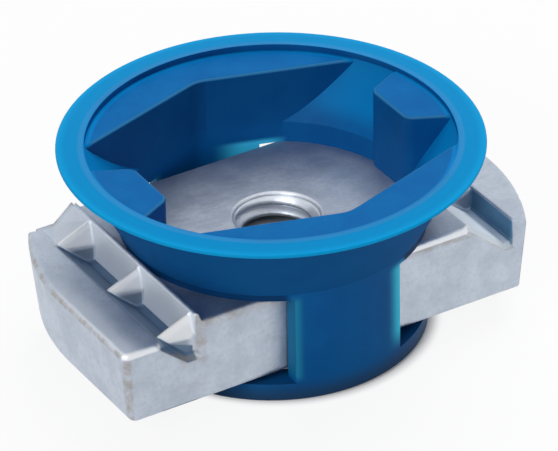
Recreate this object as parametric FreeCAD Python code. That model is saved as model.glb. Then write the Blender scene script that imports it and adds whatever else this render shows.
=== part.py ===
import FreeCAD, Part
import math
import os

# Strut channel nut: a steel bar nut with a metric thread, held in a moulded plastic cone.
# Millimetres. Z runs up along the thread, X along the bar, and z = 0 is the underside of the cone's ring.

# Channel nut
NUT_LENGTH = 34.5
NUT_WIDTH = 17.3
NUT_THICKNESS = 6.35
END_DRAFT = 0.1
NUT_CORNER_ROUND = 0.6
NUT_TOP_ROUND = 0.35
NUT_FOOT_ROUND = 0.5

# Groove across each end of the bar, and a ridge beside the left one.
# Both grooves slope gently down along +X and end in a steep face.
RIDGE_CLEARANCE = 0.05
RIDGE_RISE = 0.45
RIDGE_BACK_RUN = 0.12
RIDGE_CREST_WIDTH = 0.25
GROOVE_DEPTH = 2.5
GROOVE_SLOPE = 1.2
GROOVE_FLOOR_WIDTH = 0.5
GROOVE_STEEP_RUN = 0.15
GROOVE_MOUTH_BEVEL = 0.5
LEDGE_DROP = 0.75

# Teeth across the grooves, counted from the front face of the bar
TOOTH_PITCH = 6.8
TOOTH_FLANK = 0.4
TOOTH_HALF_WIDTH = 0.65
TOOTH_TIP_HALF_WIDTH = 0.1
TOOTH_BITE = 0.05
TOOTH_DROP = 0.025
LEFT_TOOTH_INSET = 1.0
LEFT_FILL_LENGTH = 2.8
LEFT_FILL_TURN = 1.4
RIGHT_TOOTH_INSET = 5.55

# Tapped hole, at the thread's nominal size
THREAD_RADIUS = 3.0
THREAD_MOUTH_RADIUS = 3.15

# Cone retainer: ring, pillars and pads
RING_HEIGHT = 1.45
RING_WIDTH = 1.9
RING_EDGE_BEVEL = 0.25
PILLAR_WIDTH = 8.4
SLIDE_PLAY = 0.35
SIDE_CLEARANCE = 0.1
CONE_WALL = 0.6
PAD_RISE = 0.4
PAD_WIDTH = 7.0
PAD_REACH = 0.75
PAD_SINK = 0.7

# Cone retainer: funnel, lip and bosses
RIM_RADIUS = 14.75
CONE_RISE = 6.3
SKIRT_RISE = 0.45
FUNNEL_RISE = 1.6
LIP_WIDTH = 1.85
LIP_LAND = 0.1
LIP_STEP = 0.45
LIP_DROOP = 0.1
LIP_EDGE = 0.24
LIP_BEVEL = 0.08
LIP_OVERHANG = 1.3
LIP_UNDERCUT = 0.35
WALL_SLOPE = 0.318
WALL_PEAK_ROUND = 2.0
BOSS_STAND = 0.6
BOSS_HALF_WIDTH = 2.3
BOSS_SPREAD = 0.5
BOSS_ROUND = 0.9
BOSS_DROP = 0.3
SOFT_EDGE = 0.25

# Values that follow from the ones above
NUT_UNDERSIDE = RING_HEIGHT + PAD_RISE
NUT_TOP = NUT_UNDERSIDE + NUT_THICKNESS
LEDGE_TOP = NUT_TOP - LEDGE_DROP
CREST_TOP = NUT_TOP + RIDGE_RISE
GROOVE_FLOOR = NUT_TOP - GROOVE_DEPTH
HALF_LENGTH = NUT_LENGTH / 2
HALF_WIDTH = NUT_WIDTH / 2
WALL_PEAK = HALF_WIDTH + SIDE_CLEARANCE + WALL_SLOPE * PILLAR_WIDTH / 2
RING_RADIUS = WALL_PEAK + CONE_WALL
CONE_CENTRE = -SLIDE_PLAY
RIDGE_WIDTH = RIDGE_BACK_RUN + RIDGE_CREST_WIDTH
LEFT_CREST = CONE_CENTRE - RING_RADIUS - RIDGE_CLEARANCE - RIDGE_WIDTH
GROOVE_FOOT = GROOVE_STEEP_RUN + GROOVE_FLOOR_WIDTH
LEFT_LEDGE = LEFT_CREST - GROOVE_FOOT - GROOVE_SLOPE * (LEDGE_TOP - GROOVE_FLOOR)
RIGHT_CREST = CONE_CENTRE + RING_RADIUS
RIGHT_LEDGE = RIGHT_CREST + GROOVE_SLOPE * (NUT_TOP - GROOVE_FLOOR) + GROOVE_FOOT
RIM_HEIGHT = NUT_TOP + CONE_RISE
SHELF = RIM_HEIGHT - LIP_STEP
BOSS_TOP = RIM_HEIGHT - BOSS_DROP
BORE_RADIUS = RING_RADIUS - CONE_WALL
LIP_INNER = RIM_RADIUS - LIP_WIDTH
MOUTH_RADIUS = LIP_INNER - LIP_LAND

# Room that a cutting shape reaches past what it cuts, and the play in comparing places
BEYOND = 2
TINY = 0.001


def vec(x, y, z):
    return FreeCAD.Vector(x, y, z)


def closed_face(points):
    wire = Part.makePolygon(points + [points[0]])
    return Part.Face(wire)


def turned(profile):
    face = closed_face([vec(r, 0, z) for r, z in profile])
    return face.revolve(vec(0, 0, 0), vec(0, 0, 1), 360)


def box(x0, x1, y0, y1, z0, z1):
    return Part.makeBox(x1 - x0, y1 - y0, z1 - z0, vec(x0, y0, z0))


def is_level(edge, height):
    b = edge.BoundBox
    return abs(b.ZMin - height) < TINY and abs(b.ZMax - height) < TINY


# A solid with flat sides between two outlines of as many points
def between(first, second):
    faces = [closed_face(first), closed_face(second)]
    for i in range(len(first)):
        j = (i + 1) % len(first)
        faces.append(closed_face([first[i], first[j], second[j], second[i]]))
    solid = Part.makeSolid(Part.makeShell(faces))
    if solid.Volume < 0:
        solid.reverse()
    return solid


# Blank of the bar: its ends lean outwards, two corners are square and two follow a cone about the thread
def bar_blank():
    head = CREST_TOP + BEYOND
    end_low = HALF_LENGTH - END_DRAFT * (LEDGE_TOP - NUT_UNDERSIDE)
    end_head = HALF_LENGTH + END_DRAFT * (head - LEDGE_TOP)
    prism = closed_face([
        vec(-end_low, -HALF_WIDTH, NUT_UNDERSIDE),
        vec(end_low, -HALF_WIDTH, NUT_UNDERSIDE),
        vec(end_head, -HALF_WIDTH, head),
        vec(-end_head, -HALF_WIDTH, head),
    ]).extrude(vec(0, NUT_WIDTH, 0))
    turned_bar = Part.makeCone(end_low, end_head, head - NUT_UNDERSIDE, vec(0, 0, NUT_UNDERSIDE))
    reach = end_head + BEYOND
    front_left = box(-reach, 0, -HALF_WIDTH, 0, NUT_UNDERSIDE, head)
    back_right = box(0, reach, 0, HALF_WIDTH, NUT_UNDERSIDE, head)
    front_right = box(0, reach, -HALF_WIDTH, 0, NUT_UNDERSIDE, head)
    back_left = box(-reach, 0, 0, HALF_WIDTH, NUT_UNDERSIDE, head)
    square = prism.common(front_left).fuse(prism.common(back_right))
    rounded = turned_bar.common(front_right).fuse(turned_bar.common(back_left))
    blank = square.fuse(rounded).removeSplitter().Solids[0]
    corners = []
    for edge in blank.Edges:
        middle = edge.CenterOfMass
        upright = edge.BoundBox.ZLength > NUT_THICKNESS
        if upright and middle.x * middle.y > TINY:
            corners.append(edge)
    blank = blank.makeFillet(NUT_CORNER_ROUND, corners)
    foot = [edge for edge in blank.Edges if is_level(edge, NUT_UNDERSIDE)]
    return blank.makeFillet(NUT_FOOT_ROUND, foot)


# The bar without its grooves: low ledges at the ends, a higher middle and a ridge at its left end
def stepped_bar():
    blank = bar_blank()
    reach = HALF_LENGTH + BEYOND
    side = HALF_WIDTH + BEYOND
    low = NUT_UNDERSIDE - BEYOND
    ledges = blank.common(box(-reach, reach, -side, side, low, LEDGE_TOP))
    rim = [edge for edge in ledges.Edges if is_level(edge, LEDGE_TOP)]
    ledges = ledges.makeFillet(NUT_TOP_ROUND, rim)
    left_end = LEFT_CREST - GROOVE_STEEP_RUN
    right_end = RIGHT_CREST + GROOVE_SLOPE * LEDGE_DROP
    middle = blank.common(box(left_end, right_end, -side, side, low, NUT_TOP))
    long_edges = []
    for edge in middle.Edges:
        if is_level(edge, NUT_TOP) and edge.BoundBox.XLength > TINY:
            long_edges.append(edge)
    middle = middle.makeFillet(NUT_TOP_ROUND, long_edges)
    bar = ledges.fuse(middle)
    ridge = closed_face([
        vec(left_end, -side, GROOVE_FLOOR),
        vec(left_end, -side, CREST_TOP),
        vec(LEFT_CREST + RIDGE_CREST_WIDTH, -side, CREST_TOP),
        vec(LEFT_CREST + RIDGE_WIDTH, -side, NUT_TOP),
        vec(LEFT_CREST + RIDGE_WIDTH, -side, GROOVE_FLOOR),
    ]).extrude(vec(0, 2 * side, 0))
    return bar.fuse(blank.common(ridge))


# Section of a groove between two lips, spread into the bar all round; the sides run on above the bar
def groove_section(lip_start, lip_end, spread):
    foot = lip_end[0] - GROOVE_STEEP_RUN
    line = [lip_start, (foot - GROOVE_FLOOR_WIDTH, GROOVE_FLOOR), (foot, GROOVE_FLOOR), lip_end]
    sides = []
    for (x0, z0), (x1, z1) in zip(line, line[1:]):
        length = math.hypot(x1 - x0, z1 - z0)
        dx = (x1 - x0) / length
        dz = (z1 - z0) / length
        sides.append((x0 + spread * dz, z0 - spread * dx, dx, dz))
    above = (0, CREST_TOP + BEYOND, 1, 0)
    sides = [above] + sides + [above]
    corners = []
    for (x0, z0, dx0, dz0), (x1, z1, dx1, dz1) in zip(sides, sides[1:]):
        along = ((x1 - x0) * dz1 - (z1 - z0) * dx1) / (dx0 * dz1 - dz0 * dx1)
        corners.append((x0 + along * dx0, z0 + along * dz0))
    return corners


# A groove across the bar, with a bevelled mouth in both long sides
def groove(lip_start, lip_end):
    inside = HALF_WIDTH - GROOVE_MOUTH_BEVEL
    outside = HALF_WIDTH + BEYOND
    narrow = groove_section(lip_start, lip_end, 0)
    wide = groove_section(lip_start, lip_end, outside - inside)
    cut = closed_face([vec(x, -outside, z) for x, z in narrow]).extrude(vec(0, 2 * outside, 0))
    for side in (-1, 1):
        first = [vec(x, side * inside, z) for x, z in narrow]
        second = [vec(x, side * outside, z) for x, z in wide]
        cut = cut.fuse(between(first, second))
    return cut


# Crest of a tooth, from just behind the groove's high lip to just past the ledge's edge
def crest_line(crest, crest_top, ledge):
    outwards = math.copysign(TOOTH_BITE, ledge - crest)
    fall = (crest_top - LEDGE_TOP) / (ledge - crest)
    x_high = crest - outwards
    x_low = ledge + outwards
    z_high = crest_top - TOOTH_DROP
    return x_high, z_high, x_low, z_high - fall * (x_low - x_high)


# One tooth: a gable across the groove, its crest falling to a narrow tip at the ledge
def tooth(crest, crest_top, ledge, y):
    x_high, z_high, x_low, z_low = crest_line(crest, crest_top, ledge)
    foot = GROOVE_FLOOR - TOOTH_BITE

    def section(x, top):
        half = TOOTH_FLANK * (top - foot)
        return [vec(x, y, top), vec(x, y - half, foot), vec(x, y + half, foot)]

    gable = between(section(x_high, z_high), section(x_low, z_low))
    wedge = closed_face([
        vec(x_high, y - TOOTH_HALF_WIDTH, foot),
        vec(x_low, y - TOOTH_TIP_HALF_WIDTH, foot),
        vec(x_low, y + TOOTH_TIP_HALF_WIDTH, foot),
        vec(x_high, y + TOOTH_HALF_WIDTH, foot),
    ]).extrude(vec(0, 0, CREST_TOP - foot))
    return gable.common(wedge)


# What fills the back end of the left groove behind its last tooth: three upright blocks with slanted tops.
# The slope from the crest turns inwards to the back face, where the ledge runs on under it.
def back_fill(y):
    x_high, z_high, x_low, z_low = crest_line(LEFT_CREST, CREST_TOP, LEFT_LEDGE)
    foot = GROOVE_FLOOR - TOOTH_BITE
    high_front = vec(x_high, y, z_high)
    high_back = vec(x_high, HALF_WIDTH, z_high)
    low_front = vec(x_low, y, z_low)
    low_back = vec(x_low + LEFT_FILL_TURN, HALF_WIDTH, z_low)
    corner = vec(x_low, HALF_WIDTH, z_low)
    fill = tooth(LEFT_CREST, CREST_TOP, LEFT_LEDGE, y)
    tops = [
        [high_front, high_back, low_back],
        [high_front, low_back, low_front],
        [low_front, low_back, corner],
    ]
    for top in tops:
        fill = fill.fuse(between(top, [vec(point.x, point.y, foot) for point in top]))
    return fill


def tooth_places(inset, end):
    count = int((end + HALF_WIDTH - inset) / TOOTH_PITCH) + 1
    return [-HALF_WIDTH + inset + i * TOOTH_PITCH for i in range(count)]


# Tapped hole with a countersink at both mouths
def tapped_hole():
    wide = THREAD_MOUTH_RADIUS + BEYOND
    sink = THREAD_MOUTH_RADIUS - THREAD_RADIUS
    return turned([
        (0, NUT_UNDERSIDE - BEYOND),
        (wide, NUT_UNDERSIDE - BEYOND),
        (THREAD_RADIUS, NUT_UNDERSIDE + sink),
        (THREAD_RADIUS, NUT_TOP - sink),
        (wide, NUT_TOP + BEYOND),
        (0, NUT_TOP + BEYOND),
    ])


channel_nut = stepped_bar()
channel_nut = channel_nut.cut(groove((LEFT_LEDGE, LEDGE_TOP), (LEFT_CREST, CREST_TOP)))
channel_nut = channel_nut.cut(groove((RIGHT_CREST, NUT_TOP), (RIGHT_LEDGE, LEDGE_TOP)))

fill_start = HALF_WIDTH - LEFT_FILL_LENGTH
for y in tooth_places(LEFT_TOOTH_INSET, fill_start - TOOTH_PITCH / 2):
    channel_nut = channel_nut.fuse(tooth(LEFT_CREST, CREST_TOP, LEFT_LEDGE, y))
channel_nut = channel_nut.fuse(back_fill(fill_start))
for y in tooth_places(RIGHT_TOOTH_INSET, HALF_WIDTH - TOOTH_HALF_WIDTH):
    channel_nut = channel_nut.fuse(tooth(RIGHT_CREST, NUT_TOP, RIGHT_LEDGE, y))
channel_nut = channel_nut.cut(tapped_hole()).removeSplitter()


# Outside of the cone: straight skirt, flare and thin lip
def cone_outside():
    lip_low = RIM_HEIGHT - LIP_DROOP - LIP_EDGE
    lip_high = RIM_HEIGHT - LIP_DROOP
    return turned([
        (0, 0),
        (RING_RADIUS - RING_EDGE_BEVEL, 0),
        (RING_RADIUS, RING_EDGE_BEVEL),
        (RING_RADIUS, NUT_TOP + SKIRT_RISE),
        (RIM_RADIUS - LIP_OVERHANG, lip_low - LIP_UNDERCUT),
        (RIM_RADIUS - LIP_BEVEL, lip_low),
        (RIM_RADIUS, lip_low + LIP_BEVEL),
        (RIM_RADIUS, lip_high - LIP_BEVEL),
        (RIM_RADIUS - LIP_BEVEL, lip_high),
        (LIP_INNER, RIM_HEIGHT),
        (0, RIM_HEIGHT),
    ])


# The open middle: a bore and a funnel, squeezed between four flat walls that meet over the pillars
def open_middle():
    top = RIM_HEIGHT + BEYOND
    funnel = turned([
        (0, RING_HEIGHT),
        (BORE_RADIUS, RING_HEIGHT),
        (BORE_RADIUS, NUT_TOP + FUNNEL_RISE),
        (MOUTH_RADIUS, SHELF),
        (0, SHELF),
    ])
    wall_reach = WALL_PEAK / WALL_SLOPE
    walls = closed_face([
        vec(wall_reach, 0, RING_HEIGHT),
        vec(0, WALL_PEAK, RING_HEIGHT),
        vec(-wall_reach, 0, RING_HEIGHT),
        vec(0, -WALL_PEAK, RING_HEIGHT),
    ]).extrude(vec(0, 0, SHELF - RING_HEIGHT))
    peaks = []
    for edge in walls.Edges:
        if edge.BoundBox.ZLength > TINY and abs(edge.CenterOfMass.x) < TINY:
            peaks.append(edge)
    walls = walls.makeFillet(WALL_PEAK_ROUND, peaks)
    mouth = Part.makeCylinder(MOUTH_RADIUS, top - SHELF, vec(0, 0, SHELF))
    ring_bore = Part.makeCylinder(RING_RADIUS - RING_WIDTH, RING_HEIGHT + BEYOND, vec(0, 0, -BEYOND))
    return [funnel.common(walls), mouth, ring_bore]


# A boss stands on the wall over one end of the bar and widens towards the lip
def boss(side):
    nose = BORE_RADIUS - BOSS_STAND
    wide = BOSS_HALF_WIDTH + BOSS_SPREAD * (LIP_INNER - nose)
    solid = closed_face([
        vec(side * nose, -BOSS_HALF_WIDTH, NUT_TOP),
        vec(side * LIP_INNER, -wide, NUT_TOP),
        vec(side * LIP_INNER, wide, NUT_TOP),
        vec(side * nose, BOSS_HALF_WIDTH, NUT_TOP),
    ]).extrude(vec(0, 0, BOSS_TOP - NUT_TOP))
    nose_edges = []
    for edge in solid.Edges:
        if edge.BoundBox.ZLength > TINY and abs(edge.CenterOfMass.x) < nose + TINY:
            nose_edges.append(edge)
    return solid.makeFillet(BOSS_ROUND, nose_edges)


# A pad on the ring carries one long side of the bar
def pad(side):
    y0, y1 = sorted((side * (HALF_WIDTH - PAD_REACH), side * (RING_RADIUS - CONE_WALL)))
    return box(-PAD_WIDTH / 2, PAD_WIDTH / 2, y0, y1, RING_HEIGHT - PAD_SINK, NUT_UNDERSIDE)


outside = cone_outside()
cone_retainer = outside
for hollow in open_middle():
    cone_retainer = cone_retainer.cut(hollow)
for side in (-1, 1):
    x0, x1 = sorted((side * PILLAR_WIDTH / 2, side * RIM_RADIUS))
    window = box(x0, x1, -RIM_RADIUS, RIM_RADIUS, RING_HEIGHT, NUT_TOP)
    cone_retainer = cone_retainer.cut(window)
for side in (-1, 1):
    cone_retainer = cone_retainer.fuse(boss(side).common(outside))
    cone_retainer = cone_retainer.fuse(pad(side))
cone_retainer = cone_retainer.removeSplitter()

# Soft edges that the mould leaves: along the shelf, on the bosses and down the pillars
mould_edges = []
for edge in cone_retainer.Edges:
    b = edge.BoundBox
    middle = edge.CenterOfMass
    on_mouth = isinstance(edge.Curve, Part.Circle) and edge.Curve.Radius > MOUTH_RADIUS - TINY
    upright = b.XLength < TINY and b.YLength < TINY
    on_pillar = upright and abs(abs(middle.x) - PILLAR_WIDTH / 2) < TINY
    if on_pillar and math.hypot(middle.x, middle.y) > RING_RADIUS - TINY:
        mould_edges.append(edge)
    elif (is_level(edge, SHELF) or is_level(edge, BOSS_TOP)) and not on_mouth:
        mould_edges.append(edge)
cone_retainer = cone_retainer.makeFillet(SOFT_EDGE, mould_edges)

# The bar has slid to the end of its play, with its ridge against the skirt
cone_retainer.translate(vec(CONE_CENTRE, 0, 0))

os.makedirs("parts", exist_ok=True)
channel_nut.exportStep("parts/channel_nut.step")
cone_retainer.exportStep("parts/cone_retainer.step")
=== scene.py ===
import math
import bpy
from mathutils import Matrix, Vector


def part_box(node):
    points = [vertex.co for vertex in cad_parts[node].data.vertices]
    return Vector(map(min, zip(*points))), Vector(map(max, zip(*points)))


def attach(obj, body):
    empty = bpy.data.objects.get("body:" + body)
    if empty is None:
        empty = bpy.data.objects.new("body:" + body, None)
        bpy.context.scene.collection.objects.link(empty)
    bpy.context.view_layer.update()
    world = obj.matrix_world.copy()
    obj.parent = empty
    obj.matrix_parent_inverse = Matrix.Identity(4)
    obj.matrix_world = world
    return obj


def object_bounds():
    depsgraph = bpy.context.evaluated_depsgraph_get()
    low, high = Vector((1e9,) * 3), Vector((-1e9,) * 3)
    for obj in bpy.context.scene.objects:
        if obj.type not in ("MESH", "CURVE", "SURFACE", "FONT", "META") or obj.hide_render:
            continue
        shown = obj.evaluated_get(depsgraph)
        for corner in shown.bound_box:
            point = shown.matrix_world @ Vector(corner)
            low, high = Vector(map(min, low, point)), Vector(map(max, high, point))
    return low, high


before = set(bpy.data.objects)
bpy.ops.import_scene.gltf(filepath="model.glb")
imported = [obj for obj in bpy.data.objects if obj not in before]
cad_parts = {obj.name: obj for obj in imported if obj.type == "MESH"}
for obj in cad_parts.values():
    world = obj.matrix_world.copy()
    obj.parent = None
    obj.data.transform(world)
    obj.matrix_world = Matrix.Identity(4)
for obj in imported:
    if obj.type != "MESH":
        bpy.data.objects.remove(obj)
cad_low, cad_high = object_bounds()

from types import SimpleNamespace

import bpy
import numpy as np
from mathutils import Quaternion, Vector


# Channel nut
# A short steel bar, forged with two toothed grooves and two rounded corners, tapped and then zinc plated.
# It lies loose in the cone, between the pillars, and keeps the CAD solid's shape.
MM = 0.001


class Field:
    """A value, colour or vector over a surface. Operators on plain values add Math nodes."""

    def __init__(self, shading, socket):
        self.shading = shading
        self.socket = socket

    def __add__(self, other):
        return self.shading.maths("ADD", self, other)

    def __radd__(self, other):
        return self.shading.maths("ADD", other, self)

    def __sub__(self, other):
        return self.shading.maths("SUBTRACT", self, other)

    def __rsub__(self, other):
        return self.shading.maths("SUBTRACT", other, self)

    def __mul__(self, other):
        return self.shading.maths("MULTIPLY", self, other)

    def __rmul__(self, other):
        return self.shading.maths("MULTIPLY", other, self)

    def __truediv__(self, other):
        return self.shading.maths("DIVIDE", self, other)

    def __pow__(self, other):
        return self.shading.maths("POWER", self, other)

    def __abs__(self):
        return self.shading.maths("ABSOLUTE", self)


class Shading:
    """The emptied node tree of a material or a world, and the nodes that are put into it."""

    def __init__(self, owner):
        owner.use_nodes = True
        self.tree = owner.node_tree
        self.tree.nodes.clear()

    def node(self, kind, settings, sockets, output=0):
        """Adds a node of that kind, with its settings set first and then its sockets set or linked."""
        made = self.tree.nodes.new(kind)
        for name, value in settings.items():
            setattr(made, name, value)
        for name, value in sockets.items():
            if isinstance(value, Field):
                self.tree.links.new(value.socket, made.inputs[name])
            else:
                made.inputs[name].default_value = value
        return Field(self, made.outputs[output]) if output is not None else None

    def maths(self, operation, *values):
        return self.node("ShaderNodeMath", {"operation": operation}, dict(enumerate(values)))

    def largest(self, value, *others):
        for other in others:
            value = self.maths("MAXIMUM", value, other)
        return value

    def smallest(self, value, *others):
        for other in others:
            value = self.maths("MINIMUM", value, other)
        return value

    def step(self, value, low, high):
        """0 below low, 1 above high, smooth between; with low above high it falls instead."""
        span = {"Value": value, "From Min": min(low, high), "From Max": max(low, high)}
        span["To Min"], span["To Max"] = (0, 1) if low < high else (1, 0)
        return self.node("ShaderNodeMapRange", {"interpolation_type": "SMOOTHSTEP"}, span)

    def parts(self, vector):
        """The three parts of a vector, along X, Y and Z."""
        return [self.node("ShaderNodeSeparateXYZ", {}, {0: vector}, axis) for axis in "XYZ"]

    def place(self):
        """Object coordinates in millimetres, as a vector and as its three parts."""
        metres = self.node("ShaderNodeTexCoord", {}, {}, "Object")
        where = self.node("ShaderNodeVectorMath", {"operation": "SCALE"}, {0: metres, "Scale": 1 / MM})
        return where, *self.parts(where)

    def stretched(self, where, x, y, z):
        return self.node("ShaderNodeVectorMath", {"operation": "MULTIPLY"}, {0: where, 1: (x, y, z)})

    def noise(self, where, per_mm, detail, roughness):
        sockets = {"Vector": where, "Scale": per_mm, "Detail": detail, "Roughness": roughness}
        return self.node("ShaderNodeTexNoise", {"noise_dimensions": "3D"}, sockets)

    def mix(self, mask, colour, other):
        """The other colour over the first by a mask. A Mix node's colours are 6 and 7, its result is 2."""
        sides = {6: colour, 7: other}
        for side, value in sides.items():
            if not isinstance(value, Field):
                sides[side] = (*value, 1)
        return self.node("ShaderNodeMix", {"data_type": "RGBA"}, {0: mask, **sides}, 2)

    def layered(self, colour, layers):
        """Each layer, a mask and its colour, painted over what is below it."""
        for mask, paint in layers:
            colour = self.mix(mask, colour, paint)
        return colour

    def bump(self, height, depth_mm, onto=None):
        sockets = {"Height": height, "Distance": depth_mm * MM, "Strength": 1.0}
        if onto is not None:
            sockets["Normal"] = onto
        return self.node("ShaderNodeBump", {}, sockets)


class Finish(Shading):
    """A material in the making: fields that feed a Principled shader, and at last its output."""

    def __init__(self, name):
        self.material = bpy.data.materials.new(name)
        super().__init__(self.material)

    def principled(self, **sockets):
        named = {name.replace("_", " "): value for name, value in sockets.items()}
        return self.node("ShaderNodeBsdfPrincipled", {}, named)

    def finished(self, surface):
        self.node("ShaderNodeOutputMaterial", {}, {"Surface": surface}, None)
        return self.material


def from_line(x, y, line_x=0.0, line_y=0.0):
    """The distance from an upright line, as seen from above."""
    return ((x - line_x) ** 2 + (y - line_y) ** 2) ** 0.5


# Sizes in millimetres: the bar's box is from the frame, and its forms and the cone round it are as modelled
nut_low, nut_high = [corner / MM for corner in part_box("channel_nut")]
half_width = nut_high.y
rim_round = 0.35
edge_softness = 0.3
ridge_rise = 0.45
ledge_drop = 0.75
groove_depth = 2.5
groove_slope = 1.2
steep_run = 0.15
floor_width = 0.5
tooth_inset = 1.0
tooth_pitch = 6.8
tooth_count = 3
fill_start = 6.1
hole_mouth = 3.15
cone_centre = -0.35
skirt_radius = 10.686
ridge_reach = 0.42
pillar_edge = 4.0

# Places on the bar that follow from these sizes
front_corner = (nut_low.x + 0.46, nut_low.y + 0.3)
left_crest = cone_centre - skirt_radius - ridge_reach
left_wall = left_crest - 0.3 * steep_run
left_ledge = left_crest - steep_run - floor_width - groove_slope * (groove_depth - ledge_drop)
right_crest = cone_centre + skirt_radius
right_ledge = right_crest + groove_slope * groove_depth + floor_width + steep_run
tooth_places = [tooth_inset - half_width + tooth * tooth_pitch for tooth in range(tooth_count)]
crest_top = nut_high.z
nut_top = crest_top - ridge_rise
ledge_top = nut_top - ledge_drop
groove_floor = nut_top - groove_depth

# Colours of the plating and its wear, and of the painted shade, painted light and painted highlights on it
zinc_dark = (0.47, 0.53, 0.62)
zinc_light = (0.57, 0.63, 0.715)
grain_grey = (0.38, 0.43, 0.51)
scale_grey = (0.4, 0.43, 0.48)
# painted shade of the cone on the top
cone_shade_blue = (0.2, 0.27, 0.36)
# pale matt finish of the steep groove faces, painted paler as if lit
pale_skin_and_light = (0.86, 0.92, 1.0)
right_pale_skin_and_light = (0.83, 0.92, 1.0)
# painted shade on the right groove's steep wall
wall_shade_blue = (0.025, 0.16, 0.3)
# painted light on the ledge's strip along the end
outer_ledge_light = (0.84, 0.89, 0.96)
# painted highlights on the teeth and their crests
tooth_highlight_grey = (0.76, 0.79, 0.83)
crest_highlight_white = (0.96, 0.97, 0.98)
# painted shade in the groove depths
painted_shade_blue = (0.05, 0.13, 0.24)
# painted shade on the floor of the groove's front mouth
mouth_shade_blue = (0.02, 0.08, 0.16)
# brown wear lines, also carrying the painted shade on the front face
wear_and_shade_brown = (0.33, 0.28, 0.23)
# painted highlight on edges and rims
highlight_white = (0.93, 0.94, 0.96)
# darker bore below the countersink
bore_black = (0.09, 0.1, 0.11)


def along_groove(finish, y):
    """1 over a groove's length, from one long side of the bar to the other."""
    return finish.step(abs(y), half_width - 0.02, half_width - 0.1)


def groove_mouths(finish, y):
    """1 in the bevelled mouths at both ends of a groove."""
    return finish.step(abs(y), half_width - 0.5, half_width - 0.35)


def left_groove(finish, x, y, z):
    """Masks of the left groove: all of it, the filled stretch at its back end, its teeth and the painted
    highlight on their crests, the pale matt finish of its steep wall, which is painted paler as if lit, the
    painted shade in its depth and at the feet of the teeth, and the painted shade on the floor of its front
    mouth."""
    step = finish.step
    groove = along_groove(finish, y) * step(x, left_ledge - 0.15, left_ledge)
    groove = groove * step(x, left_wall + 0.3, left_wall + 0.2)
    off_wall = step(x, left_wall - 0.12, left_wall - 0.2)
    past_mouth = 1 - groove_mouths(finish, y)
    fill = step(y, fill_start - 0.1, fill_start + 0.1)
    above_slope = z - finish.largest(ledge_top - (x - left_ledge) / groove_slope, groove_floor)
    toothed = groove * past_mouth * (1 - fill) * off_wall
    tooth = toothed * step(above_slope, 0.2, 0.35)
    from_crest = finish.smallest(*[abs(y - place) for place in tooth_places])
    # painted highlight along the crests of the teeth
    tooth_crest = tooth * step(from_crest, 0.3, 0.16)
    tooth_foot = toothed * step(z, ledge_top - 0.5, ledge_top - 0.75)
    # pale matt finish of the steep wall, painted paler as if lit
    skin = groove * past_mouth * step(above_slope, 0.05, 0.2) * step(z, crest_top, crest_top - 0.1)
    # painted shade in the groove's depth and at the feet of the teeth
    painted_shade = groove * (1 - fill) * step(above_slope, 0.2, 0.08) * step(x, left_wall, left_wall - 0.08)
    painted_shade = painted_shade * (0.5 + 0.5 * step(x, left_ledge, left_ledge + 0.4))
    painted_shade = finish.largest(painted_shade, tooth_foot * 0.8)
    tilted_height = z + 0.32 * (x - left_ledge)
    # painted shade on the floor of the front mouth
    mouth = groove * step(y, tooth_places[0], tooth_places[0] - 0.15) * off_wall
    mouth = mouth * step(tilted_height, ledge_top - 0.25, ledge_top - 0.45)
    masks = {"groove": groove, "fill": fill, "tooth": tooth, "tooth_crest": tooth_crest}
    return SimpleNamespace(**masks, skin=skin, painted_shade=painted_shade, mouth=mouth)


def right_groove(finish, x, y, z):
    """Masks of the right groove: all of it, the pale matt finish of its slope, which is painted paler as if
    lit, and the painted shade on its steep wall.
    """
    step = finish.step
    groove = along_groove(finish, y) * step(x, right_crest - 0.1, right_crest + 0.1)
    groove = groove * step(x, right_ledge + 0.06, right_ledge - 0.02)
    above_slope = z - finish.largest(nut_top - (x - right_crest) / groove_slope, groove_floor)
    # pale matt finish of the slope, painted paler as if lit
    skin = groove * step(above_slope, 0.3, 0.1)
    # painted shade on the steep wall
    wall = groove * step(x, right_ledge - 0.24, right_ledge - 0.16)
    wall = wall * step(z, ledge_top - 0.05, ledge_top - 0.25)
    wall = wall * step(abs(y), half_width - 0.2, half_width - 0.4)
    return SimpleNamespace(groove=groove, skin=skin, wall=wall)


def bar_top(finish, x, y, z):
    """Masks of the flat top: painted shade on the corner outside the skirt at the front left, and painted
    shade of the cone on a ring inside it, which fades out to the front."""
    step = finish.step
    on_top = step(z, nut_top - 0.1, nut_top - 0.02)
    from_cone = from_line(x, y, cone_centre)
    # painted shade on the top outside the skirt at the front left
    front_left_shade = on_top * step(from_cone, skirt_radius - 0.2, skirt_radius)
    front_left_shade = front_left_shade * step(y, -3.0, -6.0) * step(x, -3.5, -4.5) * step(x, left_wall + 0.3, left_wall + 0.5)
    # painted shade of the cone on a ring of the top inside it
    cone_shade = on_top * step(from_cone, 5.0, 8.5) * step(from_cone, skirt_radius, skirt_radius - 0.3)
    return SimpleNamespace(front_left_shade=front_left_shade, cone_shade=cone_shade * step(y, -4.0, 1.0))


def ledge_top_face(finish, x, y, z):
    """Masks of the ledge outside the left groove: its top, and the strip of it along the bar's end that is
    painted paler as if lit, whose line is straight in front and bends in behind by 0.04 times the square of
    y."""
    step = finish.step
    face = step(x, left_ledge + 0.1, left_ledge - 1.0) * step(z, ledge_top - 0.2, ledge_top - 0.02)
    end_line = 0.04 * finish.largest(y, 0.0) ** 2 + (nut_low.x + 0.21)
    # painted light on the strip along the end
    outer = face * step(x - end_line, 1.9, 0.6) * step(y, 3.0, -2.0)
    return SimpleNamespace(face=face, outer=outer)


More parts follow.
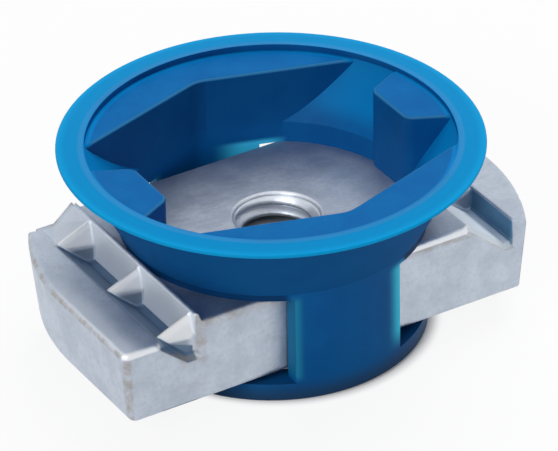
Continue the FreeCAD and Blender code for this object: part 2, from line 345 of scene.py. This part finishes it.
def bar_edges(finish, x, y, z):
    """Masks of the bar's edges: rims with a painted highlight, brown lines of wear, and the painted shade on
    the top of the front face on the left, which goes into the brown lines too."""
    step = finish.step
    front = step(y, rim_round - half_width + 0.1, rim_round - half_width - 0.05)
    ledge_rim = step(x, left_ledge + 0.05, left_ledge - 0.1)
    ledge_rim = ledge_rim * step(z, ledge_top - rim_round - 0.1, ledge_top - rim_round + 0.05)
    top_rim = step(z, nut_top - rim_round - 0.05, nut_top - rim_round + 0.05)
    left_front = front * step(x, -pillar_edge, -pillar_edge - 0.5) * step(x, left_wall, left_wall + 0.3)
    right_front = front * step(x, pillar_edge, pillar_edge + 0.5) * step(x, right_crest, right_crest - 0.2)
    # painted highlight on the front rims
    rim_highlight = finish.largest(ledge_rim * front, right_front * top_rim)
    shaded = left_front * step(z, nut_top - 0.9, nut_top - 0.3)
    arc_line = ledge_rim * (1 - front) * step(z, ledge_top - 0.01, ledge_top - 0.1)
    under_rim = right_front * (1 - top_rim) * step(z, nut_top - 0.85, nut_top - 0.6)
    corner_line = step(from_line(x, y, *front_corner), 0.42, 0.25)
    corner_line = corner_line * step(z, ledge_top - 0.2, ledge_top - 0.6)
    below_mouth = front * step(z, groove_floor - 1.1, groove_floor - 0.4)
    below_mouth = below_mouth * step(x, left_ledge + 0.8, left_ledge + 1.6)
    below_mouth = below_mouth * step(x, left_wall + 0.9, left_wall + 0.4)
    # brown wear lines, with the painted shade on the top of the front face
    worn_and_shaded = arc_line + under_rim + corner_line + shaded + below_mouth
    return SimpleNamespace(rim_highlight=rim_highlight, worn_and_shaded=worn_and_shaded, shaded=shaded)


def tapped_hole(finish, x, y, z):
    """Masks of the hole: its upper countersink, and the bore below it, which is darker."""
    step = finish.step
    inside = step(from_line(x, y), hole_mouth + 0.12, hole_mouth + 0.02)
    countersink = inside * step(z, nut_top - 1.3, nut_top - 1.0)
    return SimpleNamespace(countersink=countersink, deeper_bore=inside * step(z, nut_top - 1.4, nut_top - 2.0))


def zinc_plate(name):
    """Zinc on forged steel: blotchy grey with a blue cast and softened edges. The grooves have a pale matt
    finish on their steep faces, painted paler as if lit, teeth with painted highlights, and painted shade in
    their depth. Edges and rims have painted highlights or brown lines of wear, and painted shade lies on
    parts of the top and the front face."""
    finish = Finish(name)
    step = finish.step
    where, x, y, z = finish.place()
    blotch = finish.noise(where, per_mm=0.45, detail=3.0, roughness=0.6)
    grain = finish.noise(where, per_mm=3.5, detail=2.0, roughness=0.6)
    drawn_out = finish.stretched(where, 0.5, 1.0, 1.0)
    scale_marks = finish.noise(drawn_out, per_mm=1.3, detail=4.0, roughness=0.65)
    soft_normal = finish.node("ShaderNodeBevel", {"samples": 6}, {"Radius": edge_softness * MM})
    flat_normal = finish.node("ShaderNodeNewGeometry", {}, {}, "Normal")
    normals = {0: soft_normal, 1: flat_normal}
    alike = finish.node("ShaderNodeVectorMath", {"operation": "DOT_PRODUCT"}, normals, 1)
    edge = step(alike, 0.99, 0.85)

    left = left_groove(finish, x, y, z)
    right = right_groove(finish, x, y, z)
    top = bar_top(finish, x, y, z)
    ledge = ledge_top_face(finish, x, y, z)
    edges = bar_edges(finish, x, y, z)
    hole = tapped_hole(finish, x, y, z)
    skin = finish.largest(left.skin, right.skin)
    # painted shade in the groove depths, the front mouth and the front left corner of the top
    painted_shade = finish.largest(left.painted_shade, left.mouth, top.front_left_shade * 0.6)
    mouth_rim = (left.groove + right.groove) * step(abs(y), half_width - 0.25, half_width - 0.12)
    # brown wear lines, with the painted shade of the front face among them
    worn_and_shaded = finish.smallest(edges.worn_and_shaded + mouth_rim, 1.0) * (0.2 + 0.8 * step(scale_marks, 0.35, 0.65))
    dark_mouth = groove_mouths(finish, y) * step(z, ledge_top + 0.3, ledge_top + 0.1)
    ridge_top = step(z, nut_top + 0.1, nut_top + 0.2) * step(x, left_wall - 0.2, left_wall - 0.05)
    right_depth = right.groove * step(x, right_crest + 0.5, right_crest + 0.7)
    # painted highlights along the edges and rims, and on the countersink
    edge_highlight = edge * (1 - painted_shade) * (1 - dark_mouth) * (1 - ridge_top) * (1 - edges.shaded) * (1 - right_depth)
    edge_highlight = finish.largest(edge_highlight, edges.rim_highlight * 0.8, hole.countersink * 0.4)

    layers = [
        (step(grain, 0.4, 0.8) * 0.4, grain_grey),
        (step(scale_marks, 0.5, 0.72) * 0.3, scale_grey),
        # painted shade of the cone on the top
        (top.cone_shade * 0.4, cone_shade_blue),
        # pale matt finish of the steep faces, painted paler as if lit
        (skin * (0.9 - 0.4 * left.fill), pale_skin_and_light),
        (right.skin * 0.9, right_pale_skin_and_light),
        # painted shade on the right groove's steep wall
        (right.wall * 0.85, wall_shade_blue),
        # painted light on the ledge's strip along the end
        (ledge.outer * 0.7, outer_ledge_light),
        # painted highlights on the teeth and their crests
        (left.tooth, tooth_highlight_grey),
        (left.tooth_crest * 0.9, crest_highlight_white),
        # painted shade in the groove depths and on the mouth floor
        (painted_shade * 0.8, painted_shade_blue),
        (left.mouth * 0.45, mouth_shade_blue),
        # brown wear lines and painted shade
        (worn_and_shaded * 0.6, wear_and_shade_brown),
        # painted highlights along edges and rims
        (edge_highlight * 0.85, highlight_white),
        # darker bore below the countersink
        (hole.deeper_bore * 0.7, bore_black),
    ]
    colour = finish.layered(finish.mix(step(blotch, 0.3, 0.7), zinc_dark, zinc_light), layers)
    roughness = 0.36 + 0.14 * blotch + 0.1 * scale_marks - 0.15 * left.tooth - 0.15 * edge_highlight
    matt_tooth = left.tooth * 0.5 + left.tooth_crest * 0.4
    matt = finish.largest(skin * (1 - left.tooth) * (1 - edge), matt_tooth)
    metal = 0.92 - 0.7 * matt - 0.25 * ledge.face - 0.3 * ledge.outer - 0.2 * right.skin
    relief = finish.bump(scale_marks, depth_mm=0.035, onto=soft_normal)
    relief = finish.bump(grain, depth_mm=0.008, onto=relief)
    surface = finish.principled(Base_Color=colour, Roughness=roughness, Metallic=metal, Normal=relief)
    return finish.finished(surface)


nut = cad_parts["channel_nut"]
nut.data.materials.clear()
nut.data.materials.append(zinc_plate("zinc_plate"))


# Thread in the nut
# The turns of a metric M6 coarse thread, cut by a tap through the bar after forging.
# They are the nut's own steel, so they start inside the wall of its hole and taper off in both countersinks.
thread_sizes = {
    "nominal": 3.0,
    "minor": 2.5,
    "pitch": 1.0,
    "low": nut_low.z + 0.1,
    "high": nut_top - 0.1,
    "mouth": hole_mouth - 0.05,
    "start": 2.295,
}


def thread_turns(nominal, minor, pitch, low, high, mouth, start):
    """A ridge of flat-topped triangular section carried up a helix from the start angle: after turning by a
    the section's middle is at height low + pitch * a / 2 pi. It stays outside both countersink cones."""
    steps_per_turn = 72
    root_depth = 0.06
    rooted = nominal + root_depth
    root_half, flank_half, crest_half = 0.47 * pitch, 0.4375 * pitch, 0.125 * pitch
    turns = (high - low) / pitch
    angle = np.linspace(0, 2 * np.pi * turns, int(steps_per_turn * turns))
    across = np.array([-root_half, -flank_half, -crest_half, crest_half, flank_half, root_half])
    radius = np.array([rooted, nominal, minor, minor, nominal, rooted])
    height = low + pitch * angle[:, None] / (2 * np.pi) + across[None, :]
    height = np.clip(height, low, high)
    cone = mouth - np.minimum(high - height, height - low)
    reach = np.maximum(np.broadcast_to(radius, height.shape), cone)
    reach = np.where(radius[None, :] > nominal, rooted, reach)
    turn = start + angle[:, None] + np.zeros_like(height)
    points = np.stack([reach * np.cos(turn), reach * np.sin(turn), height], -1)
    rows, columns = height.shape
    row, column = np.meshgrid(np.arange(rows - 1), np.arange(columns), indexing="ij")
    beside = (column + 1) % columns
    corners = [row * columns + column, row * columns + beside]
    corners += [(row + 1) * columns + beside, (row + 1) * columns + column]
    quads = np.stack(corners, -1).reshape(-1, 4)
    first_end = np.arange(columns)[::-1]
    last_end = np.arange(columns) + (rows - 1) * columns
    return points.reshape(-1, 3) * MM, [*quads.tolist(), first_end.tolist(), last_end.tolist()]


def made_piece(name, points, faces, material):
    """An object at the origin, with its place in its mesh."""
    mesh = bpy.data.meshes.new(name)
    mesh.from_pydata(points.tolist(), [], faces)
    mesh.validate()
    mesh.update()
    mesh.materials.append(material)
    piece = bpy.data.objects.new(name, mesh)
    bpy.context.scene.collection.objects.link(piece)
    return piece


thread = made_piece("thread_turns", *thread_turns(**thread_sizes), zinc_plate("tapped_zinc_plate"))
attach(thread, "root")


# Cone retainer
# One moulding in blue plastic: ring, two pillars, funnel with flat walls, and a thin springy lip.
# The plastic lets some light through, so the lip and the thin edges of the pillars look paler than the body.
cone_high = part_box("cone_retainer")[1] / MM
cone_wall = 0.6
ring_top = 1.45
pillar_half = 4.2
funnel_start = nut_top + 1.6
bore_radius = skirt_radius - cone_wall
rim_height = cone_high.z
lip_outer = cone_high.y
lip_inner = lip_outer - 1.85
shelf_height = rim_height - 0.45
shelf_radius = lip_inner - 0.1
flare_widening = (shelf_radius - bore_radius) / (shelf_height - funnel_start)

# Colours of the plastic, from its thick to its thin places, and of the light through it, the shade and the
# highlights painted on it
deep_blue = (0.002, 0.112, 0.355)
flow_blue = (0.004, 0.14, 0.405)
# painted shade on upright faces
upright_shade_blue = (0.001, 0.045, 0.19)
back_wall_blue = (0.001, 0.028, 0.13)
# painted shade at the foot of the skirt
skirt_foot_shade_blue = (0.001, 0.018, 0.07)
# painted shade on the downward faces under the flare
under_shade_blue = (0.003, 0.058, 0.185)
ring_face_blue = (0.002, 0.016, 0.06)
# painted shade at the ring's foot
foot_blue = (0.02, 0.05, 0.1)
# painted highlight on rounded top edges
rounded_highlight_blue = (0.045, 0.215, 0.42)
# painted light through the thin flare, more at its sides
flare_glow_blue = (0.001, 0.205, 0.54)
side_flare_glow_blue = (0.001, 0.3, 0.74)
lip_blue = (0.001, 0.25, 0.56)
# painted highlight on the crease at the lip's inner edge
crease_highlight_blue = (0.08, 0.3, 0.52)
# painted light through the lip's thin outer edge
lip_edge_glow_blue = (0.002, 0.34, 0.7)
side_teal = (0.02, 0.22, 0.3)
left_teal = (0.02, 0.27, 0.43)
back_teal = (0.01, 0.25, 0.46)
right_cyan = (0.06, 0.72, 1.0)
foot_cyan = (0.06, 0.68, 1.0)


def funnel_layers(finish, spot):
    """Painted light through the thin flare, more so at its sides, painted shade on the back wall and at the
    foot of the skirt, and a painted highlight on the rounded top edges of the walls and bosses."""
    step = finish.step
    along, y, z, radius, facing_up = spot.along, spot.y, spot.z, spot.radius, spot.facing_up
    flare_radius = bore_radius + (z - funnel_start) * flare_widening
    # painted light through the thin flare, more at its sides
    thin_flare_glow = step(abs(radius - flare_radius), 0.5, 0.2) * step(facing_up, 0.1, 0.3)
    thin_flare_glow = thin_flare_glow * step(z, funnel_start + 0.2, funnel_start + 1.7)
    side_flare_glow = thin_flare_glow * step(abs(along), 7.0, 9.0)
    back_wall = spot.upright * spot.facing_front * step(spot.facing_side, 0.4, 0.2)
    back_wall = back_wall * step(y, 3.0, 6.0) * step(z, nut_top + 1.0, nut_top + 2.5)
    # painted shade at the foot of the skirt
    skirt_foot_shade = spot.upright * step(z, funnel_start + 0.3, nut_top + 0.6) * step(z, nut_top - 0.1, nut_top)
    skirt_foot_shade = skirt_foot_shade * step(abs(along), pillar_half + 0.1, pillar_half + 0.7)
    skirt_foot_shade = skirt_foot_shade * step(radius, bore_radius + 0.1, bore_radius + 0.4)
    # painted highlight on the rounded top edges of walls and bosses
    rounded = step(facing_up, 0.35, 0.55) * step(facing_up, 0.97, 0.9) * (1 - thin_flare_glow)
    rounded = rounded * step(z, shelf_height - 1.25, shelf_height - 0.65)
    rounded = rounded * step(radius, lip_inner - 0.2, lip_inner - 0.5)
    return [
        (thin_flare_glow * 0.65, flare_glow_blue),
        (side_flare_glow * 0.35, side_flare_glow_blue),
        (back_wall * 0.35, back_wall_blue),
        (skirt_foot_shade * 0.75, skirt_foot_shade_blue),
        (rounded * 0.7, rounded_highlight_blue),
    ]


def ring_layers(finish, spot):
    """Painted shade on the ring's top face and on its foot."""
    step = finish.step
    face = step(spot.facing_up, 0.7, 0.9) * step(spot.z, ring_top + 0.4, ring_top + 0.2)
    # painted shade at the ring's foot, darker towards the floor
    foot = step(spot.z, ring_top + 0.5, 0.2) * step(spot.radius, skirt_radius - 0.4, skirt_radius - 0.1)
    return [(face * 0.55, ring_face_blue), (foot * 0.8, foot_blue)]


def lip_layers(finish, spot):
    """The thin lip and its outer edge, painted paler for the light through them, and a painted highlight on
    the crease at its inner edge.
    """
    step = finish.step
    lip = step(spot.radius, lip_inner - 0.05, lip_inner + 0.6)
    lip = lip * step(spot.z, shelf_height - 0.85, shelf_height - 0.05)
    # painted highlight on the crease at the lip's inner edge
    crease = step(abs(spot.radius - (lip_inner + 0.15)), 0.3, 0.1)
    crease = crease * step(spot.z, rim_height - 0.3, rim_height - 0.15)
    # painted light through the lip's thin outer edge
    edge = lip * step(spot.radius, lip_outer - 0.75, lip_outer)
    return [(lip, lip_blue), (crease * 0.3, crease_highlight_blue), (edge * 0.8, lip_edge_glow_blue)]


def pillar_layers(finish, spot):
    """Light through the edges of the pillars, over the open height between the ring and the skirt: on their
    side faces, along the front pillar's right and left edges, along the back pillar's edges, and at the back
    pillar's foot inside the cone."""
    step = finish.step
    along, y, z = spot.along, spot.y, spot.z
    open_height = step(z, ring_top, ring_top + 0.7) * step(z, nut_top + 0.4, nut_top - 0.3)
    side_face = step(spot.facing_side, 0.7, 0.9) * step(abs(along), pillar_half - 0.6, pillar_half - 0.3)
    side_face = side_face * step(abs(along), pillar_half + 0.8, pillar_half + 0.4) * open_height
    right_edge = step(along, pillar_half - 1.7, pillar_half - 0.1) ** 2 * step(y, 0, -1) * spot.facing_front
    right_edge = right_edge * step(along, pillar_half + 0.6, pillar_half + 0.2) * open_height
    right_edge = right_edge * (0.25 + 0.75 * step(z, ring_top + 0.4, ring_top + 1.8))
    left_edge = step(along, -pillar_half + 0.65, -pillar_half + 0.1) * spot.facing_front
    left_edge = left_edge * step(along, -pillar_half - 0.3, -pillar_half - 0.1) * open_height
    back_edges = step(abs(along), pillar_half - 0.8, pillar_half - 0.1) * (1 - spot.facing_front)
    back_edges = back_edges * step(abs(along), pillar_half + 0.3, pillar_half + 0.1) * open_height
    back_edges = back_edges * step(y, half_width + 0.35, half_width + 0.85)
    back_foot = step(y, half_width - 0.65, half_width + 0.05) * spot.facing_front
    back_foot = back_foot * step(z, nut_top + 0.55, nut_top + 0.1)
    back_foot = back_foot * step(along, pillar_half - 3.4, pillar_half - 1.0)
    return [
        (side_face * 0.4, side_teal),
        (right_edge, right_cyan),
        (left_edge * 0.75, left_teal),
        (back_edges * 0.5, back_teal),
        (back_foot, foot_cyan),
    ]


def blue_plastic(name):
    """Satin blue plastic: deep blue where it is thick, with the light through the thin lip and the pillars'
    edges painted azure and teal, painted shade on upright faces, under the flare and at the foot of the ring,
    and painted highlights on rounded edges."""
    finish = Finish(name)
    step = finish.step
    where, x, y, z = finish.place()
    flow = finish.noise(where, per_mm=0.35, detail=3.0, roughness=0.55)
    grain = finish.noise(where, per_mm=5.0, detail=2.0, roughness=0.6)
    facing_x, facing_y, facing_up = finish.parts(finish.node("ShaderNodeNewGeometry", {}, {}, "Normal"))
    spot = SimpleNamespace(along=x - cone_centre, y=y, z=z, radius=from_line(x, y, cone_centre))
    spot.facing_up = facing_up
    spot.facing_side = abs(facing_x)
    spot.facing_front = step(facing_y, -0.3, -0.7)
    spot.upright = step(abs(facing_up), 0.5, 0.25)
    under = step(facing_up, -0.15, -0.4)
    layers = [
        # painted shade on upright faces
        (spot.upright * 0.28, upright_shade_blue),
        *funnel_layers(finish, spot),
        # painted shade under the flare
        (under * 0.55, under_shade_blue),
        *ring_layers(finish, spot),
        *lip_layers(finish, spot),
        *pillar_layers(finish, spot),
    ]
    colour = finish.layered(finish.mix(step(flow, 0.25, 0.75), deep_blue, flow_blue), layers)
    roughness = 0.38 + 0.1 * flow + 0.06 * grain + 0.3 * under
    relief = finish.bump(grain, depth_mm=0.006, onto=finish.bump(flow, depth_mm=0.02))
    surface = finish.principled(
        Base_Color=colour, Roughness=roughness, Normal=relief, Specular_IOR_Level=0.06
    )
    return finish.finished(surface)


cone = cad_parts["cone_retainer"]
cone.data.materials.clear()
cone.data.materials.append(blue_plastic("blue_moulding"))


# Floor and surroundings
# A plain white sheet under the part and a white room round it, both seen as white and lit softly.
floor_reach = 0.6
floor_gap = 0.02 * MM
paper_white = (0.82, 0.82, 0.82, 1)
shade_inner = 10.2
shade_outer = 11.5
room_light = 0.19


def seen_directly(shading):
    """1 for what the camera, a reflection or a see-through surface looks at, 0 for light on the part."""
    rays = ("Is Camera Ray", "Is Glossy Ray", "Is Transmission Ray")
    return shading.largest(*[shading.node("ShaderNodeLightPath", {}, {}, ray) for ray in rays])


def white_paper(name):
    """Matt paper that is seen as white, less so in the shade under the part."""
    finish = Finish(name)
    _, x, y, _ = finish.place()
    share = 0.1 + 0.8 * finish.step(from_line(x, y), shade_inner, shade_outer)
    paper = finish.principled(Base_Color=paper_white, Roughness=1.0, Specular_IOR_Level=0.0)
    white = finish.node("ShaderNodeEmission", {}, {"Strength": 1.0})
    sides = {0: seen_directly(finish) * share, 1: paper, 2: white}
    return finish.finished(finish.node("ShaderNodeMixShader", {}, sides))


floor_corners = np.array([[-1, -1, 0], [1, -1, 0], [1, 1, 0], [-1, 1, 0]]) * floor_reach
floor_corners[:, 2] = cad_low.z - floor_gap
floor = made_piece("floor", floor_corners, [[0, 1, 2, 3]], white_paper("white_paper"))

room = bpy.data.worlds.new("white_room")
bpy.context.scene.world = room
room_shading = Shading(room)
room_strength = room_light + (1 - room_light) * seen_directly(room_shading)
room_colour = {"Color": (1, 1, 1, 1), "Strength": room_strength}
room_surface = room_shading.node("ShaderNodeBackground", {}, room_colour)
room_shading.node("ShaderNodeOutputWorld", {}, {"Surface": room_surface}, None)


# Studio lamps
# A wide soft box overhead, a smaller one on the left and a weak one near the camera, as in a product
# photograph on white.
part_middle = Vector((0, 0, 0.008))


def soft_box(name, place, width, power, in_reflections):
    """A square lamp that looks at the middle of the part."""
    lamp = bpy.data.lights.new(name, "AREA")
    lamp.shape = "SQUARE"
    lamp.size = width
    lamp.energy = power
    holder = bpy.data.objects.new(name, lamp)
    holder.location = place
    holder.rotation_euler = (part_middle - Vector(place)).to_track_quat("-Z", "Y").to_euler()
    holder.visible_glossy = in_reflections
    bpy.context.scene.collection.objects.link(holder)


soft_box("overhead_box", place=(0.18, 0.12, 0.345), width=0.3, power=1.35, in_reflections=False)
soft_box("left_box", place=(-0.3, -0.16, 0.28), width=0.2, power=0.65, in_reflections=True)
soft_box("camera_box", place=(-0.25, -0.3, 0.2), width=0.15, power=0.1, in_reflections=True)


# Camera
# A long lens from the front left, 32 degrees above the table, rolled by about a degree.
camera_place = Vector((-152.406, -258.28, 196.671)) * MM
camera_aim = Vector((0.104, -0.061, 7.378)) * MM
camera_roll = math.radians(1.244)
camera_data = bpy.data.cameras.new("camera")
camera_data.sensor_width = 36.0
camera_data.lens = 331.3
camera_data.clip_start = 0.01
camera = bpy.data.objects.new("camera", camera_data)
camera.rotation_mode = "QUATERNION"
looking = (camera_aim - camera_place).to_track_quat("-Z", "Y")
camera.rotation_quaternion = looking @ Quaternion((0, 0, 1), -camera_roll)
camera.location = camera_place
bpy.context.scene.collection.objects.link(camera)
bpy.context.scene.camera = camera
bpy.context.scene.view_settings.view_transform = "Standard"
